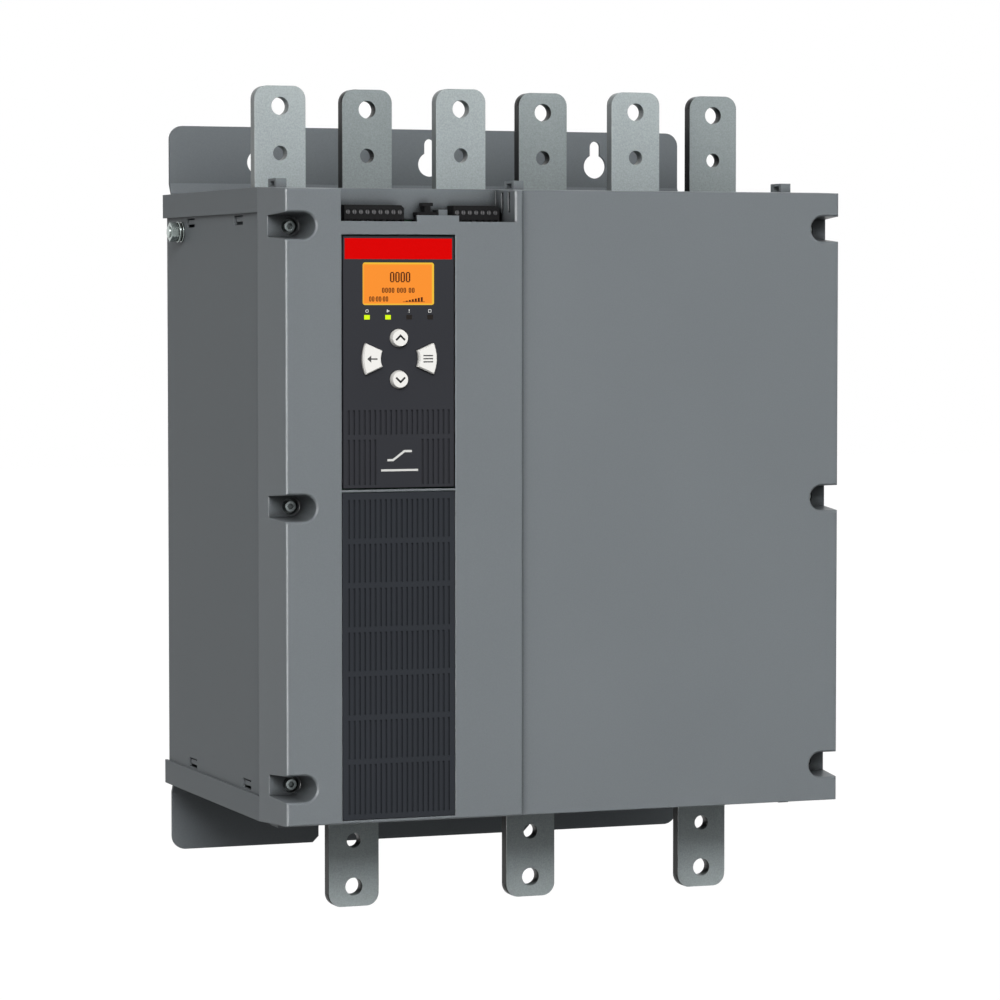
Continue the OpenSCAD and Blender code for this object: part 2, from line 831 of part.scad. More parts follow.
module gate_board()
  color([0.1, 0.32, 0.2])
    difference() {
      bx(-gate_x, gate_x, gate_y - 1.6, gate_y, gate_z - gate_h / 2, gate_z + gate_h / 2);
      for (x = ph)
        for (k = [-post_x, post_x])
          rod(x + k, gate_z, 4.2, gate_y - 3, gate_y + 1);
    }

module board_posts()
  color([0.9, 0.89, 0.84])
    for (x = ph)
      for (k = [-post_x, post_x]) {
        rod(x + k, gate_z, 10, gate_y, front_f);
        rod(x + k, gate_z, 4, gate_y - 1.6 - e, gate_y + e);
        rod(x + k, gate_z, 7, gate_y - 3.6, gate_y - 1.6);
      }

module control_board()
  color([0.1, 0.32, 0.2])
    bx(-w2 + 27.5, -w2 + 179, board_y, board_y + 1.6, ct - 210, ct - 9);

module signal_relays()
  color([0.12, 0.24, 0.5])
    for (i = [0:2])
      bx(-w2 + 136, -w2 + 152, board_y - 16, board_y, ct - 80 - i * 34, ct - 52 - i * 34);

// Terminal blocks in the recess, with the screws facing forward
module terminal_block(x0, n, lead) {
  x1 = x0 + n * pole_p + lead + 1;
  difference() {
    bx(x0, x1, block_y, board_y, rec_z, ct - 11);
    for (i = [0:n - 1])
      rod(x0 + lead + (i + 0.5) * pole_p + 0.5, ct - 16, 3.6, block_y - 1, block_y + 4);
    for (i = [0:n - 1])
      bx(x0 + lead + i * pole_p + 1.1, x0 + lead + i * pole_p + 4.6, block_y - 1, block_y + 6,
        ct - 25.5, ct - 21.5);
    translate([x1, block_y - 1, ct - 11])
      rotate([0, 45, 0])
        translate([-1.6, 0, -1.6])
          cube([3.2, 40, 3.2]);
    bx(x0 - 1, x1 + 1, fy + recess_d - 0.3, board_y + 1, rec_z + 7.7, ct);
  }
}

module terminal_block_left()
  color([0.13, 0.13, 0.13])
    terminal_block(ta_x, poles_a, 0);

module terminal_block_right()
  color([0.13, 0.13, 0.13])
    terminal_block(tb_x - poles_b * pole_p - 1, poles_b, 0);

module terminal_screw(x)
  difference() {
    rod(x, ct - 16, 3.4, block_y + 1, block_y + 4);
    bx(x - 0.35, x + 0.35, block_y, block_y + 1.9, ct - 18, ct - 14);
  }

module terminal_screws()
  color([0.5, 0.5, 0.5]) {
    for (i = [0:poles_a - 1])
      terminal_screw(ta_x + (i + 0.5) * pole_p + 0.5);
    for (i = [0:poles_b - 1])
      terminal_screw(tb_x - poles_b * pole_p - 1 + (i + 0.5) * pole_p + 0.5);
  }

// Service connector between the terminal blocks
module service_clip()
  color([0.07, 0.07, 0.07]) {
    bx(-w2 + 112, -w2 + 126, block_y + 4, board_y, rec_z, rec_z + 7.7);
    bx(-w2 + 113, -w2 + 125, block_y + 4, block_y + 12, rec_z + 7.7 - e, ct - 18);
    bx(-w2 + 111, -w2 + 126.5, block_y + 2, block_y + 13, ct - 18 - e, ct - 16);
    bx(-w2 + 117, -w2 + 121.5, block_y + 4, block_y + 11, ct - 16 - e, ct - 11.5);
    bx(-w2 + 115, -w2 + 123, block_y + 3, block_y + 11, ct - 11.5 - e, ct - 9);
  }

// Keypad, a unit of its own in the upper opening
module sector(r0, r1, grow, side)
  intersection() {
    difference() {
      circle(r = r1 + grow, $fn = 96);
      circle(r = r0 - grow, $fn = 96);
    }
    polygon([
      [side * (-grow / sin(23.5)), 0],
      [side * 40, (40 + grow / sin(23.5)) * tan(23.5)],
      [side * 40, -(40 + grow / sin(23.5)) * tan(23.5)]]);
  }

module button_places(d, grow) {
  for (k = [-15, 15])
    translate([kx, cz + k])
      circle(d = d + 2 * grow, $fn = 64);
  for (s = [-1, 1])
    translate([kx, cz])
      sector(14.6, 28.4, grow, s);
}

lcd_z = kt - 35;
led_z = kt - 59.2;
led_x = [-24.2, -8.1, 8.1, 24.2];
groove_p = (pad_w - 9.5) / (cols - 1);
pad_half = pad_w / 2 + joint_g - pad_joint;
pad_head = kt + joint_g - pad_joint;
pad_foot = kb - joint_g + pad_joint;

row_p = (gt - gb) * 0.135;

module grooves(z0, z1, skip)
  for (i = [0:cols - 1])
    if (!skip || i < 6 || i > cols - 7)
      translate([kx - pad_w / 2 + 4.75 + i * groove_p - slot_w / 2, z0])
        square([slot_w, z1 - z0]);

module keypad_housing()
  color([0.21, 0.22, 0.24])
    difference() {
      union() {
        bx(kx - pad_half, kx + pad_half, fy, fy + 20, pad_foot, pad_head);
        bx(kx - pad_w / 2 - 4, kx + pad_w / 2 + 4, fy + cover_t, fy + cover_t + 2, kb + 4, kt - 4);
      }
      difference() {
        bx(kx - pad_w / 2 + 2, kx + pad_w / 2 - 2, fy + 2.5, fy + 21, kb + 2, kt - 2);
        for (x = [-pad_w / 2 + 6.15, pad_w / 2 - 6.15])
          for (z = [lcd_z + 14, cz - 30])
            rod(kx + x, z, 5, fy + 2, fy + 10);
      }
      bx(kx - pad_w / 2 + 2, kx + pad_w / 2 - 2, fy - 1, fy + 0.8, kt - 17.2, kt - 2.2);
      facing(fy - 1, fy + 3)
        rounded(kx - lcd_w / 2, kx + lcd_w / 2, lcd_z - lcd_h / 2, lcd_z + lcd_h / 2, 1.8);
      bx(kx - lcd_w / 2 - 1.5, kx + lcd_w / 2 + 1.5, fy + 1, fy + 3, lcd_z - lcd_h / 2 - 1.5, lcd_z + lcd_h / 2 + 1.5);
      for (x = led_x)
        bx(kx + x - 2.2, kx + x + 2.2, fy - 1, fy + 3, led_z - 1.7, led_z + 1.7);
      facing(fy - 1, fy + 3)
        button_places(button_d, 0.35);
      facing(fy - 1, fy + 1.5) {
        grooves(kt - 144.2, kt - 126.4, false);
        grooves(kb + 2.8, kb + 35.7, true);
      }
    }

module keypad_back()
  color([0.21, 0.22, 0.24])
    bx(kx - pad_half, kx + pad_half, fy + 20, fy + 22, pad_foot, pad_head);

module header_strip()
  color([0.85, 0.02, 0.02])
    bx(kx - pad_w / 2 + 2, kx + pad_w / 2 - 2, fy, fy + 0.8, kt - 17.2, kt - 2.2);

module display_lens()
  color([1, 0.57, 0.17])
    bx(kx - lcd_w / 2 - 1.5, kx + lcd_w / 2 + 1.5, fy + 1, fy + 2.5, lcd_z - lcd_h / 2 - 1.5, lcd_z + lcd_h / 2 + 1.5);

module display_module()
  color([0.3, 0.32, 0.3])
    bx(kx - lcd_w / 2 - 3, kx + lcd_w / 2 + 3, fy + 2.5, fy + 10, lcd_z - lcd_h / 2 - 3, lcd_z + lcd_h / 2 + 3);

module status_lights()
  color([0.78, 1, 0.1])
    for (x = led_x)
      bx(kx + x - 2.1, kx + x + 2.1, fy + 0.2, fy + 10, led_z - 1.6, led_z + 1.6);

module keypad_board()
  color([0.1, 0.32, 0.2])
    bx(kx - pad_w / 2 + 3.15, kx + pad_w / 2 - 3.15, fy + 10, fy + 11.6, cz - 34, lcd_z + 18);

module button_mat()
  color([0.75, 0.75, 0.72])
    bx(kx - 32, kx + 32, fy + 8.4, fy + 10, cz - 25, cz + 25);

module round_button(k)
  color([0.93, 0.92, 0.9]) {
    translate([kx, fy - button_h, cz + k])
      rotate([-90, 0, 0])
        cylinder(d1 = button_d - 2, d2 = button_d, h = button_h, $fn = 64);
    rod(kx, cz + k, button_d, fy - e, fy + 2.8 + e);
    rod(kx, cz + k, button_d + 1.8, fy + 2.8, fy + 4);
    rod(kx, cz + k, 6, fy + 4 - e, fy + 7);
  }

module sector_button(s)
  color([0.93, 0.92, 0.9]) {
    for (g = [[-0.7, -button_h, -button_h + 0.6], [-0.35, -button_h + 0.6 - e, -button_h + 1.2], [0, -button_h + 1.2 - e, 2.8 + e], [0.9, 2.8, 4]])
      facing(fy + g[1], fy + g[2])
        translate([kx, cz])
          sector(14.6, 28.4, g[0], s);
    rod(kx + s * 21, cz, 6, fy + 4 - e, fy + 7);
  }

module up_button() round_button(15);
module down_button() round_button(-15);
module back_button() sector_button(-1);
module menu_button() sector_button(1);

// Panel with blind grooves in the lower opening
module grooved_panel()
  color([0.2, 0.21, 0.23])
    difference() {
      union() {
        bx(kx - pad_w / 2, kx + pad_w / 2, fy, fy + cover_t, gb, gt);
        bx(kx - pad_w / 2 - 4, kx + pad_w / 2 + 4, fy + cover_t, fy + cover_t + 2, gb + 4, gt - 4);
      }
      facing(fy - 1, fy + 1.5) {
        for (i = [0:5])
          grooves(gt - 5.1 - i * row_p - row_p + 4, gt - 5.1 - i * row_p, false);
        grooves(gb + 3.7, gt - 5.1 - 6 * row_p, false);
      }
    }

mounting_plate();
top_panel();
bottom_panel();
left_side_panel();
right_side_panel();
front_cover();
cover_screws();
cover_washers();
earth_stud();
earth_nut();
earth_washers();
top_insulator();
bottom_insulator();
line_bar_1();
line_bar_2();
line_bar_3();
bypass_bar_1();
bypass_bar_2();
bypass_bar_3();
outlet_bar_1();
outlet_bar_2();
outlet_bar_3();
outlet_blocks();
front_sink_1();
front_sink_2();
front_sink_3();
rear_sink_1();
rear_sink_2();
rear_sink_3();
thyristor_discs();
clamp_bolts();
clamp_sleeves();
busbar_bolts();
support_rails();
current_transformers();
fan_frames();
fan_rotor_1();
fan_rotor_2();
fan_rotor_3();
gate_board();
board_posts();
control_board();
signal_relays();
terminal_block_left();
terminal_block_right();
terminal_screws();
service_clip();
keypad_housing();
keypad_back();
header_strip();
display_lens();
display_module();
status_lights();
keypad_board();
button_mat();
up_button();
down_button();
back_button();
menu_button();
grooved_panel();
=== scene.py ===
# Wall-mounted three-phase soft starter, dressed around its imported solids
# The sections follow the unit as it is put together, from the plate on the wall to the keypad in the cover
import math

import bmesh
import bpy
from mathutils import Matrix, Vector


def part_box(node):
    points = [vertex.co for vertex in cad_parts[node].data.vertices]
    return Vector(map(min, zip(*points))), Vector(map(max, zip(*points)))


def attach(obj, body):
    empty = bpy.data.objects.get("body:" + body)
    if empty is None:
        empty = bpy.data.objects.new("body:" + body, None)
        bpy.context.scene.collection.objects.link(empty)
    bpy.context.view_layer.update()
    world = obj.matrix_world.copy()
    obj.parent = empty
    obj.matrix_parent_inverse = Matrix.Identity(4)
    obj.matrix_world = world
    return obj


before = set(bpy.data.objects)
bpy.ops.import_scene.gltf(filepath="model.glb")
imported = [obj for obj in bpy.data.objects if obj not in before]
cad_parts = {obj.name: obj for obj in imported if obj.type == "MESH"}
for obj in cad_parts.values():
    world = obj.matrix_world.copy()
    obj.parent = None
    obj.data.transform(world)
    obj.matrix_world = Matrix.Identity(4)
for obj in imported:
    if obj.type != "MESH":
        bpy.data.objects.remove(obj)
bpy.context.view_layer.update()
scene = bpy.context.scene
scene.view_settings.view_transform = "Standard"

# Camera
# A long lens to the left of the unit, about level with its upper half and tipped down a little.
camera_data = bpy.data.cameras.new("camera")
camera_data.sensor_width = 36.0
camera_data.lens = 142.08
camera = bpy.data.objects.new("camera", camera_data)
camera.location = (-1.08477, -3.00777, -0.10465)
camera.rotation_euler = (math.radians(87.019), 0.0, math.radians(-20.870))
scene.collection.objects.link(camera)
scene.camera = camera

# Studio
# White surroundings, as the camera and reflections see them, and a dome of light from the front and above.
# One soft box stands at the left of the front, one lights the far sides, and a tall one draws the edges.
DOME_TOP = (-0.15, -0.70, 0.70)
DOME_SPAN = (-0.3, 0.9)
DOME_LEVELS = (0.03, 0.70)
FLOOR_Z = -1.6
FLOOR_HALF = 30.0
FLOOR_GLOW = 1.09
FLOOR_GLOW_SHARE = 0.92
MIDDLE = Vector((0.0, -0.16, -0.26))


def seen_directly(tree):
    """1 for rays from the camera, from gloss and through glass, 0 for the light that falls on things."""
    path = tree.nodes.new("ShaderNodeLightPath")
    gloss = tree.nodes.new("ShaderNodeMath")
    gloss.operation = "ADD"
    tree.links.new(path.outputs["Is Camera Ray"], gloss.inputs[0])
    tree.links.new(path.outputs["Is Glossy Ray"], gloss.inputs[1])
    every = tree.nodes.new("ShaderNodeMath")
    every.operation = "ADD"
    every.use_clamp = True
    tree.links.new(gloss.outputs[0], every.inputs[0])
    tree.links.new(path.outputs["Is Transmission Ray"], every.inputs[1])
    return every.outputs[0]


world = bpy.data.worlds.new("studio")
world.use_nodes = True
scene.world = world
sky_tree = world.node_tree
sky = sky_tree.nodes["Background"]
sky.inputs["Color"].default_value = (1.0, 1.0, 1.0, 1.0)
way = sky_tree.nodes.new("ShaderNodeTexCoord")
ahead = sky_tree.nodes.new("ShaderNodeVectorMath")
ahead.operation = "DOT_PRODUCT"
ahead.inputs[1].default_value = DOME_TOP
sky_tree.links.new(way.outputs["Generated"], ahead.inputs[0])
dome = sky_tree.nodes.new("ShaderNodeMapRange")
dome.inputs["From Min"].default_value, dome.inputs["From Max"].default_value = DOME_SPAN
dome.inputs["To Min"].default_value, dome.inputs["To Max"].default_value = DOME_LEVELS
sky_tree.links.new(ahead.outputs["Value"], dome.inputs["Value"])
level = sky_tree.nodes.new("ShaderNodeMapRange")
sky_tree.links.new(dome.outputs["Result"], level.inputs["To Min"])
level.inputs["To Max"].default_value = 1.0
sky_tree.links.new(seen_directly(sky_tree), level.inputs["Value"])
sky_tree.links.new(level.outputs["Result"], sky.inputs["Strength"])

floor_paint = bpy.data.materials.new("floor_white")
floor_paint.use_nodes = True
floor_tree = floor_paint.node_tree
floor_coat = floor_tree.nodes["Principled BSDF"]
floor_coat.inputs["Base Color"].default_value = (0.12, 0.12, 0.12, 1.0)
floor_coat.inputs["Roughness"].default_value = 0.9
floor_glow = floor_tree.nodes.new("ShaderNodeEmission")
floor_glow.inputs["Strength"].default_value = FLOOR_GLOW
floor_mix = floor_tree.nodes.new("ShaderNodeMixShader")
floor_share = floor_tree.nodes.new("ShaderNodeMath")
floor_share.operation = "MULTIPLY"
floor_share.inputs[1].default_value = FLOOR_GLOW_SHARE
floor_tree.links.new(seen_directly(floor_tree), floor_share.inputs[0])
floor_tree.links.new(floor_share.outputs[0], floor_mix.inputs["Fac"])
floor_tree.links.new(floor_coat.outputs[0], floor_mix.inputs[1])
floor_tree.links.new(floor_glow.outputs[0], floor_mix.inputs[2])
floor_tree.links.new(floor_mix.outputs[0], floor_tree.nodes["Material Output"].inputs["Surface"])
shape = bmesh.new()
bmesh.ops.create_grid(shape, x_segments=2, y_segments=2, size=FLOOR_HALF,
                      matrix=Matrix.Translation((0.0, 0.0, FLOOR_Z)))
floor_mesh = bpy.data.meshes.new("floor")
shape.to_mesh(floor_mesh)
shape.free()
floor = bpy.data.objects.new("floor", floor_mesh)
floor_mesh.materials.append(floor_paint)
scene.collection.objects.link(floor)


def soft_box(name, place, size, power):
    """A rectangular lamp that looks at the middle of the unit."""
    data = bpy.data.lights.new(name, "AREA")
    data.shape = "RECTANGLE"
    data.size, data.size_y = size
    data.energy = power
    lamp = bpy.data.objects.new(name, data)
    lamp.location = place
    lamp.rotation_euler = (MIDDLE - Vector(place)).to_track_quat("-Z", "Y").to_euler()
    scene.collection.objects.link(lamp)
    return lamp


soft_box("front_light", place=(-1.67, -5.29, 2.37), size=(3.2, 2.2), power=300.0)
back_light = soft_box("back_light", place=(3.0, 3.5, 0.6), size=(3.0, 2.2), power=240.0)
back_light.visible_glossy = False
edge_light = soft_box("edge_light", place=(-2.78, -2.22, -0.1), size=(0.9, 2.4), power=2000.0)
edge_light.visible_diffuse = False
gleaming = bpy.data.collections.new("gleaming")
edge_light.light_linking.receiver_collection = gleaming

# Mounting plate
# One bent sheet of steel in grey powder coat, with a stepped flange above and below.
# It hangs on three keyholes and is held by two open slots at its foot.
PATCHES_PER_M = 9.0
PATCH_SHARE = 0.35
NOISE_SPAN = (0.3, 0.7)
RELIEF = 0.35
CORNER_SAMPLES = 6


def tones(colour, share):
    """The colour times a share, for a ramp."""
    return tuple(min(1.0, c * share) for c in colour) + (1.0,)


def grained(name, colour, spread, cell, rough, bump, metallic=0.0, gloss=0.5, edge=0.0, painted_shade=()):
    """A coat or skin: fine grain and faint broad patches in colour, gloss and relief.

    edge rounds the corners by that radius.
    Each (reach, share) pair of the last argument paints shade into the colour: ambient occlusion within
    reach darkens corners, hollows and the ground close under things, by that share.
    """
    material = bpy.data.materials.new(name)
    material.use_nodes = True
    tree = material.node_tree
    surface = tree.nodes["Principled BSDF"]
    surface.inputs["Metallic"].default_value = metallic
    surface.inputs["Specular IOR Level"].default_value = gloss
    where = tree.nodes.new("ShaderNodeTexCoord")
    fine = tree.nodes.new("ShaderNodeTexNoise")
    fine.inputs["Scale"].default_value = 1.0 / cell
    fine.inputs["Detail"].default_value = 2.0
    broad = tree.nodes.new("ShaderNodeTexNoise")
    broad.inputs["Scale"].default_value = PATCHES_PER_M
    broad.inputs["Detail"].default_value = 3.0
    for noise in (fine, broad):
        tree.links.new(where.outputs["Object"], noise.inputs["Vector"])
    blend = tree.nodes.new("ShaderNodeMix")
    blend.inputs["Factor"].default_value = PATCH_SHARE
    tree.links.new(fine.outputs["Fac"], blend.inputs["A"])
    tree.links.new(broad.outputs["Fac"], blend.inputs["B"])
    ramp = tree.nodes.new("ShaderNodeValToRGB")
    for stop, at, share in zip(ramp.color_ramp.elements, NOISE_SPAN, (1.0 - spread, 1.0 + spread)):
        stop.position = at
        stop.color = tones(colour, share)
    tree.links.new(blend.outputs["Result"], ramp.inputs["Fac"])
    tone = ramp.outputs["Color"]
    # Painted shade: each pair darkens the colour by ambient occlusion in corners and hollows.
    for reach, share in painted_shade:
        corners = tree.nodes.new("ShaderNodeAmbientOcclusion")
        corners.samples = CORNER_SAMPLES
        corners.inputs["Distance"].default_value = reach
        tree.links.new(tone, corners.inputs["Color"])
        partly = tree.nodes.new("ShaderNodeMix")
        partly.data_type = "RGBA"
        partly.inputs["Factor"].default_value = share
        tree.links.new(tone, partly.inputs["A"])
        tree.links.new(corners.outputs["Color"], partly.inputs["B"])
        tone = partly.outputs["Result"]
    tree.links.new(tone, surface.inputs["Base Color"])
    shine = tree.nodes.new("ShaderNodeMapRange")
    shine.inputs["From Min"].default_value, shine.inputs["From Max"].default_value = NOISE_SPAN
    shine.inputs["To Min"].default_value, shine.inputs["To Max"].default_value = rough
    tree.links.new(blend.outputs["Result"], shine.inputs["Value"])
    tree.links.new(shine.outputs["Result"], surface.inputs["Roughness"])
    relief = tree.nodes.new("ShaderNodeBump")
    relief.inputs["Strength"].default_value = RELIEF
    relief.inputs["Distance"].default_value = bump
    tree.links.new(fine.outputs["Fac"], relief.inputs["Height"])
    tree.links.new(relief.outputs["Normal"], surface.inputs["Normal"])
    if edge:
        rounding = tree.nodes.new("ShaderNodeBevel")
        rounding.inputs["Radius"].default_value = edge
        tree.links.new(rounding.outputs["Normal"], relief.inputs["Normal"])
    return material


def dress(material, *names):
    """Gives CAD nodes a finish."""
    for name in names:
        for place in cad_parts[name].material_slots:
            place.material = material


def gleam(*names):
    """Lets the edge light reach CAD nodes."""
    for name in names:
        gleaming.objects.link(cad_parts[name])


MERGE_WITHIN = 0.000002
FLAT_WITHIN = math.radians(0.5)
SHARP_BEYOND = math.radians(35.0)


def ease_edges(width, steps, *names):
    """Small rolled or deburred edges on CAD nodes, over their merged flat faces."""
    for name in names:
        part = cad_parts[name]
        part.modifiers.new("merge", "WELD").merge_threshold = MERGE_WITHIN
        flats = part.modifiers.new("flats", "DECIMATE")
        flats.decimate_type = "DISSOLVE"
        flats.angle_limit = FLAT_WITHIN
        edge = part.modifiers.new("edge", "BEVEL")
        edge.width = width
        edge.segments = steps
        edge.limit_method = "ANGLE"
        edge.angle_limit = SHARP_BEYOND
        edge.harden_normals = True


# Painted shade darkens the coat where the case and the bars stand close before it.
plate_coat = grained("plate_coat", colour=(0.150, 0.165, 0.175), spread=0.05, cell=0.0011,
                     rough=(0.4, 0.5), bump=0.00004, gloss=0.03, edge=0.0005, painted_shade=[(0.08, 0.7)])
dress(plate_coat, "mounting_plate")
gleam("mounting_plate")

# Case panels
# Top and bottom panels with turned edges and two side panels, cut and bent from 2 mm steel.
# They are powder coated like the plate and stand on it.
# Painted shade darkens the coat in its corners and seams.
panel_coat = grained("panel_coat", colour=(0.155, 0.171, 0.181), spread=0.05, cell=0.0010,
                     rough=(0.4, 0.5), bump=0.00004, gloss=0.03, edge=0.0005, painted_shade=[(0.006, 0.7)])
panels = ("top_panel", "bottom_panel", "left_side_panel", "right_side_panel")
dress(panel_coat, *panels)
gleam(*panels)

# Front cover
# One plastic moulding with an eroded skin, six screw pockets, a terminal recess and two openings.
# It closes the case at the front and is held by the screws in its pockets.
# Painted shade darkens the skin in the screw pockets, in the recess and beside the step in its face.
cover_skin = grained("cover_skin", colour=(0.165, 0.182, 0.193), spread=0.05, cell=0.0009,
                     rough=(0.30, 0.40), bump=0.00005, gloss=0.06, edge=0.0012,
                     painted_shade=[(0.022, 1.0), (0.006, 1.0)])
dress(cover_skin, "front_cover")
gleam("front_cover")

# Cover screws and washers
# Six socket screws of zinc-plated steel on flat washers, one in each pocket of the cover.
# The bolts of the heat sinks and of the bars have the same coat.
# Painted shade darkens the zinc in the sockets and under the heads.
screw_zinc = grained("screw_zinc", colour=(0.25, 0.28, 0.28), spread=0.4, cell=0.0014,
                     rough=(0.16, 0.26), bump=0.00006, metallic=0.9, painted_shade=[(0.008, 1.0)])
dress(screw_zinc, "cover_screws", "cover_washers", "clamp_bolts", "busbar_bolts")
ease_edges(0.0003, 2, "cover_screws")

# Earth connection
# A bolt, nut and washers of bright zinc-plated steel, stock parts.
# They are stacked through the left side panel.
# Painted shade darkens the zinc between the nut, the washers and the panel.
earth_zinc = grained("earth_zinc", colour=(0.42, 0.48, 0.46), spread=0.15, cell=0.0008,
                     rough=(0.2, 0.3), bump=0.00004, metallic=0.9, painted_shade=[(0.012, 1.0), (0.003, 1.0)])
dress(earth_zinc, "earth_stud", "earth_nut", "earth_washers")
ease_edges(0.0004, 2, "earth_stud", "earth_nut", "earth_washers")

# Insulating plates
# Black moulded plates, slotted for the connection bars.
# They sit in the top and bottom panels and hold the bars clear of the steel.
black_moulding = grained("black_moulding", colour=(0.009, 0.009, 0.0095), spread=0.2, cell=0.0008,
                         rough=(0.45, 0.6), bump=0.00004, gloss=0.1)
dress(black_moulding, "top_insulator", "bottom_insulator")

# Connection bars
# Flat copper bars, tin plated, sawn and deburred, with two holes at each free end.
# Line and bypass bars stand on top, outlet bars below; all are tinned alike, and each kind has its own
# copy of the tin with painted shade.
# Painted shade on sideways faces: full colour where the normal's X is 0.2 or less, the darkest share where
# it is 0.8 or more.
SIDE_SHADE_SPAN = (0.8, 0.2)


def shade_sides(material, least):
    """Paints shade: darkens the colour to the share least on the faces that look sideways, as if less
    light fell on them.
    """
    tree = material.node_tree
    plain = tree.nodes["Principled BSDF"].inputs["Base Color"].links[0].from_socket
    face = tree.nodes.new("ShaderNodeNewGeometry")
    split = tree.nodes.new("ShaderNodeSeparateXYZ")
    tree.links.new(face.outputs["Normal"], split.inputs["Vector"])
    size = tree.nodes.new("ShaderNodeMath")
    size.operation = "ABSOLUTE"
    tree.links.new(split.outputs["X"], size.inputs[0])
    share = tree.nodes.new("ShaderNodeMapRange")
    share.inputs["From Min"].default_value, share.inputs["From Max"].default_value = SIDE_SHADE_SPAN
    share.inputs["To Min"].default_value = least
    tree.links.new(size.outputs[0], share.inputs["Value"])
    side_shade = tree.nodes.new("ShaderNodeVectorMath")
    side_shade.operation = "SCALE"
    tree.links.new(plain, side_shade.inputs[0])
    tree.links.new(share.outputs["Result"], side_shade.inputs["Scale"])
    tree.links.new(side_shade.outputs["Vector"], tree.nodes["Principled BSDF"].inputs["Base Color"])


# Painted shade: the bypass bars' tone is the tin's tone made darker, as if in the shade of the line bars
# before them.
BAR_TONES_AND_SHADE = {"line": (0.360, 0.403, 0.408),
             "bypass": (0.268, 0.302, 0.306),
             "outlet": (0.360, 0.403, 0.408)}
# Painted shade: the share of the colour left on the sideways faces, least on the bypass and outlet bars.
BAR_SIDE_SHADE = {"line": 0.45, "bypass": 0.02, "outlet": 0.03}
BAR_GLOSS = {"line": 0.20, "bypass": 0.08, "outlet": 0.08}
# Each kind also gets painted shade near the case and between the bars.
for kind, tone in BAR_TONES_AND_SHADE.items():
    plating_and_shade = grained(kind + "_plating", colour=tone, spread=0.16, cell=0.0011, rough=(0.34, 0.42),
                      bump=0.00003, gloss=BAR_GLOSS[kind], painted_shade=[(0.08, 0.6)])
    shade_sides(plating_and_shade, BAR_SIDE_SHADE[kind])
    bars = [f"{kind}_bar_{i}" for i in (1, 2, 3)]
    dress(plating_and_shade, *bars)
    gleam(*bars)
    ease_edges(0.0008, 2, *bars)

# Outlet blocks
# Bare copper blocks, sawn from bar.
# They are bolted between the outlet bars and the rear heat sinks.
copper = grained("copper", colour=(0.60, 0.27, 0.14), spread=0.12, cell=0.0016, rough=(0.3, 0.5),
                 bump=0.00004, metallic=1.0)
dress(copper, "outlet_blocks")
ease_edges(0.0006, 2, "outlet_blocks")

# Heat sinks
# Extruded aluminium with straight fins, sawn to length.
# One stands in front of and one behind the discs of each phase.
extrusion = grained("extrusion", colour=(0.60, 0.61, 0.62), spread=0.08, cell=0.0014,
                    rough=(0.35, 0.5), bump=0.00004, metallic=1.0)
sinks = [f"{side}_sink_{i}" for side in ("front", "rear") for i in (1, 2, 3)]
dress(extrusion, *sinks)

# Thyristor discs
# Press-pack cells in glazed ceramic rings, two in each phase.
# They are clamped between the heat sinks.
glaze = grained("glaze", colour=(0.75, 0.73, 0.66), spread=0.05, cell=0.004, rough=(0.12, 0.2),
                bump=0.00002)
dress(glaze, "thyristor_discs")

# Clamp sleeves and support rails
# Glass-fibre laminate, sawn and drilled.
# The sleeves insulate the clamp bolts, and the rails carry the heat sinks on the plate.
laminate = grained("laminate", colour=(0.55, 0.46, 0.22), spread=0.15, cell=0.0012, rough=(0.5, 0.65),
                   bump=0.00005)
dress(laminate, "clamp_sleeves", "support_rails")

# Current transformers
# Windings cast in dark blue resin, as closed rings.
# One sits around each outlet bar.
resin = grained("resin", colour=(0.02, 0.024, 0.04), spread=0.2, cell=0.0012, rough=(0.35, 0.5),
                bump=0.00004)
dress(resin, "current_transformers")

# Fans
# Three axial fans, frame and rotor moulded in black glass-filled plastic.
# They sit on the bottom panel, under the heat sinks.
fan_plastic = grained("fan_plastic", colour=(0.022, 0.022, 0.024), spread=0.25, cell=0.0007,
                      rough=(0.4, 0.55), bump=0.00004)
dress(fan_plastic, "fan_frames", "fan_rotor_1", "fan_rotor_2", "fan_rotor_3")

# Circuit boards
# Glass-fibre boards with green solder mask: on nylon posts before the heat sinks, behind the terminals
# with the output relays, and in the keypad.
mask = grained("mask", colour=(0.02, 0.10, 0.05), spread=0.3, cell=0.003, rough=(0.25, 0.4),
               bump=0.00003)
dress(mask, "gate_board", "control_board", "keypad_board")
nylon = grained("nylon", colour=(0.75, 0.73, 0.66), spread=0.06, cell=0.002, rough=(0.4, 0.5),
                bump=0.00003)
dress(nylon, "board_posts")
relay_case = grained("relay_case", colour=(0.02, 0.05, 0.2), spread=0.15, cell=0.001,
                     rough=(0.35, 0.5), bump=0.00003)
dress(relay_case, "signal_relays")

# Control terminals
# Two black moulded terminal blocks with slotted steel screws and a service clip between them.
# They sit in the recess of the cover, with the screws to the front.
dress(black_moulding, "terminal_block_left", "terminal_block_right", "service_clip")
# Painted shade darkens the screws down in their holes.
terminal_steel = grained("terminal_steel", colour=(0.22, 0.22, 0.225), spread=0.15, cell=0.0005,
                         rough=(0.3, 0.42), bump=0.00002, metallic=0.6, gloss=0.2,
                         painted_shade=[(0.0025, 1.0)])
dress(terminal_steel, "terminal_screws")

# Keypad housing
# A dark grey moulding with grooves below the buttons, clipped into the upper opening of the cover.
# A lid of the same plastic closes it at the back.
keypad_skin = grained("keypad_skin", colour=(0.0262, 0.0274, 0.0326), spread=0.12, cell=0.0007,
                      rough=(0.42, 0.55), bump=0.00004, gloss=0.12)
dress(keypad_skin, "keypad_housing", "keypad_back")
ease_edges(0.0002, 2, "keypad_housing")

